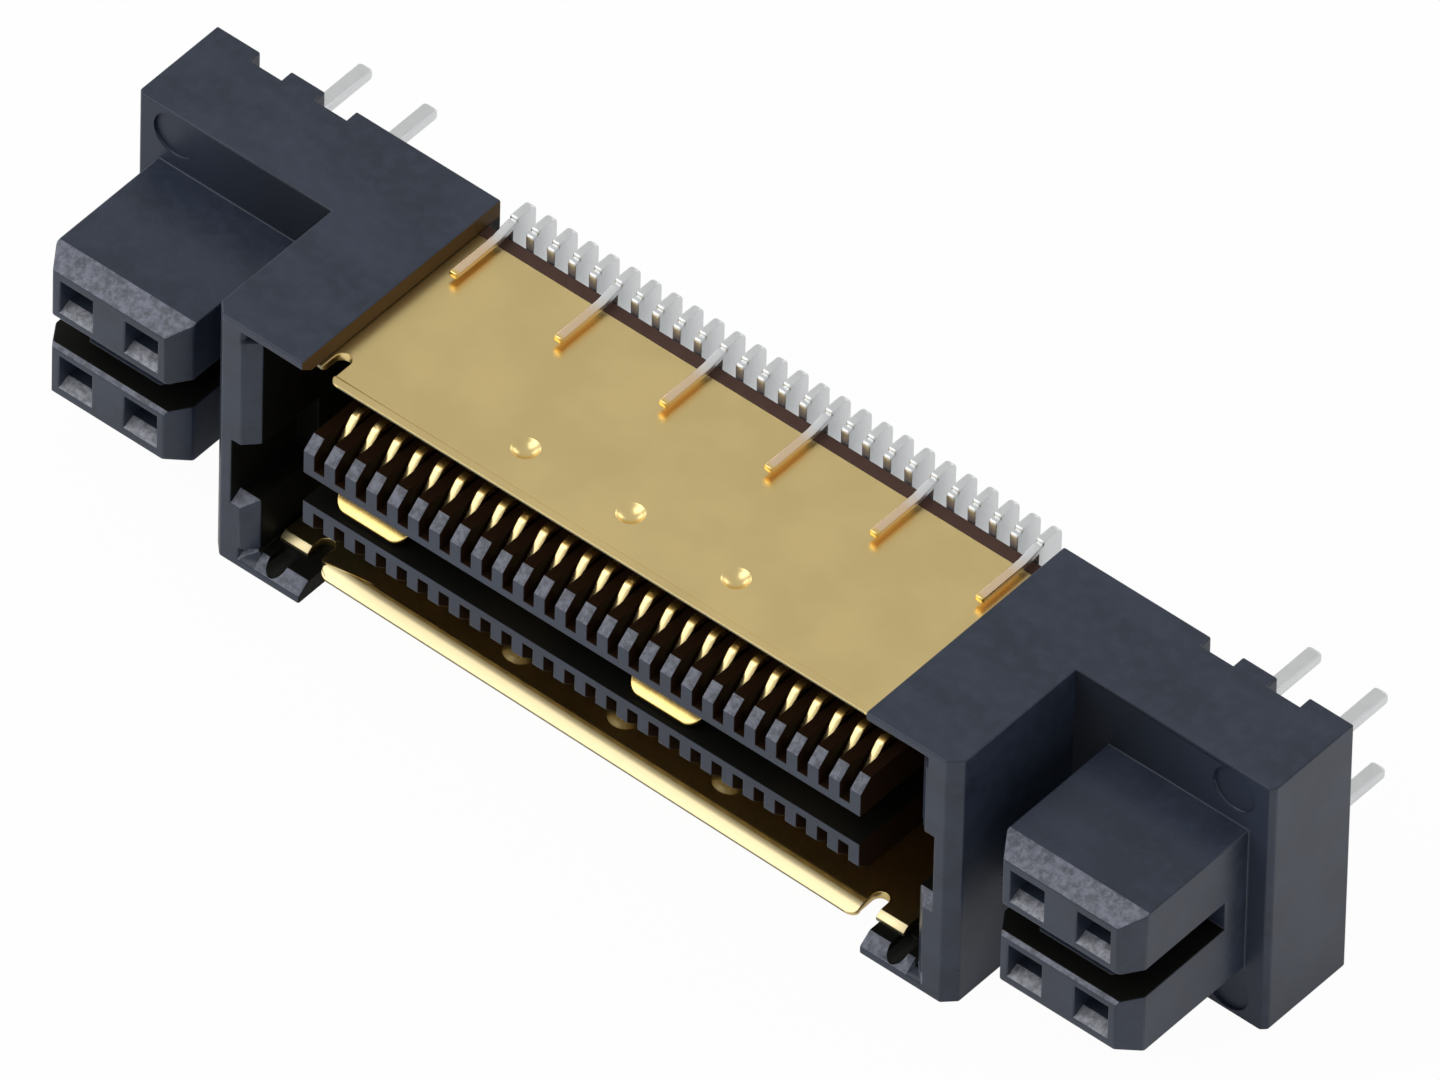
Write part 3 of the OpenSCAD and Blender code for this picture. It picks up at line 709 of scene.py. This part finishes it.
class BuildStage(bpy.types.Operator):
    """Table, lights and camera"""

    bl_idname = "connector.stage"
    bl_label = "Table, lights and camera"

    def execute(self, context):
        scene = context.scene
        settings = scene.connector_stage
        self.table(settings)
        self.world(scene)
        for name, placing in LAMPS.items():
            self.lamp(name, *placing)
        self.camera(scene, settings)
        scene.view_settings.view_transform = "Standard"
        return {"FINISHED"}

    def table(self, settings):
        """White table: the camera sees it almost pure white, a reflection partly so."""
        only()
        bpy.ops.mesh.primitive_plane_add(size=4, location=(0, 0, -0.01 * MM))
        floor = bpy.context.object
        floor.name = "table"
        finish = Finish("table_white")
        rays = finish.node("ShaderNodeLightPath", {}, {}, "Is Camera Ray")
        glossy = finish.node("ShaderNodeLightPath", {}, {}, "Is Glossy Ray")
        seen = (rays + glossy * TABLE_MIRRORED_WHITE).clamped() * TABLE_SEEN_WHITE
        diffuse = finish.node("ShaderNodeBsdfDiffuse", {}, {"Color": (*settings.table, 1)})
        white = finish.node("ShaderNodeEmission", {}, {"Color": (1, 1, 1, 1), "Strength": 1.0})
        shared = finish.node("ShaderNodeMixShader", {}, {0: seen, 1: diffuse, 2: white})
        floor.data.materials.append(finish.close(shared))

    def world(self, scene):
        """Even grey light all round, white where the camera looks."""
        world = bpy.data.worlds.new("studio")
        scene.world = world
        world.use_nodes = True
        tree = world.node_tree
        tree.nodes.clear()
        path = tree.nodes.new("ShaderNodeLightPath")
        strength = tree.nodes.new("ShaderNodeMapRange")
        strength.inputs["To Min"].default_value = SKY
        strength.inputs["To Max"].default_value = 1.0
        light = tree.nodes.new("ShaderNodeBackground")
        light.inputs["Color"].default_value = (1, 1, 1, 1)
        output = tree.nodes.new("ShaderNodeOutputWorld")
        tree.links.new(path.outputs["Is Camera Ray"], strength.inputs["Value"])
        tree.links.new(strength.outputs[0], light.inputs["Strength"])
        tree.links.new(light.outputs[0], output.inputs["Surface"])

    def lamp(self, name, direction, distance, size, radiance):
        """Soft lamp of the given width and height, aimed at the part."""
        direction = Vector(direction).normalized()
        centre = Vector((0, 0, MIDDLE_Z))
        bpy.ops.object.light_add(type="AREA", location=centre + direction * distance)
        lamp = bpy.context.object
        lamp.name = name
        lamp.rotation_mode = "QUATERNION"
        lamp.rotation_quaternion = direction.to_track_quat("Z", "Y")
        lamp.data.shape = "RECTANGLE"
        lamp.data.size, lamp.data.size_y = size
        lamp.data.energy = radiance * pi * size[0] * size[1]

    def camera(self, scene, settings):
        """Long lens at the viewing angle of the photograph."""
        azimuth, elevation = settings.azimuth, settings.elevation
        back = Vector((sin(azimuth) * cos(elevation), -cos(azimuth) * cos(elevation), sin(elevation)))
        level = (-back).cross(Vector((0, 0, 1))).normalized()
        upright = level.cross(-back)
        right = cos(settings.roll) * level + sin(settings.roll) * upright
        up = -sin(settings.roll) * level + cos(settings.roll) * upright
        aim = Vector((0, BOARD_FACE_Y, HOUSING_HIGH.z)) + AIM_RIGHT * right + AIM_UP * up
        data = bpy.data.cameras.new("camera")
        data.lens = settings.lens
        data.sensor_width = 36
        data.clip_start = 0.1
        data.clip_end = 10
        camera = bpy.data.objects.new("camera", data)
        scene.collection.objects.link(camera)
        turn = Matrix((right, up, back)).transposed().to_4x4()
        camera.matrix_world = Matrix.Translation(aim + back * settings.distance) @ turn
        scene.camera = camera


class ConnectorPanel(bpy.types.Panel):
    """Lists the pieces of the connector"""

    bl_idname = "VIEW3D_PT_connector"
    bl_label = "Connector"
    bl_space_type = "VIEW_3D"
    bl_region_type = "UI"
    bl_category = "Connector"

    def draw(self, context):
        scene = context.scene
        for operator in OPERATORS:
            self.layout.operator(operator.bl_idname)
        for name in SETTINGS:
            box = self.layout.box()
            group = getattr(scene, name)
            for key in group.bl_rna.properties.keys():
                if key not in ("rna_type", "name"):
                    box.prop(group, key)


OPERATORS = (BuildHousing, BuildSheets, BuildContacts, BuildPowerContacts, BuildStage)
SETTINGS = {
    "connector_housing": HousingSettings,
    "connector_sheet": SheetSettings,
    "connector_contact": ContactSettings,
    "connector_stage": StageSettings,
}


def register():
    for cls in (*SETTINGS.values(), *OPERATORS, ConnectorPanel):
        bpy.utils.register_class(cls)
    for name, cls in SETTINGS.items():
        setattr(bpy.types.Scene, name, bpy.props.PointerProperty(type=cls))


def unregister():
    for name in SETTINGS:
        delattr(bpy.types.Scene, name)
    for cls in reversed((*SETTINGS.values(), *OPERATORS, ConnectorPanel)):
        bpy.utils.unregister_class(cls)


def main():
    register()
    bpy.ops.connector.housing()
    bpy.ops.connector.sheets()
    bpy.ops.connector.contacts()
    bpy.ops.connector.power_contacts()
    bpy.ops.connector.stage()


if __name__ == "__main__":
    main()
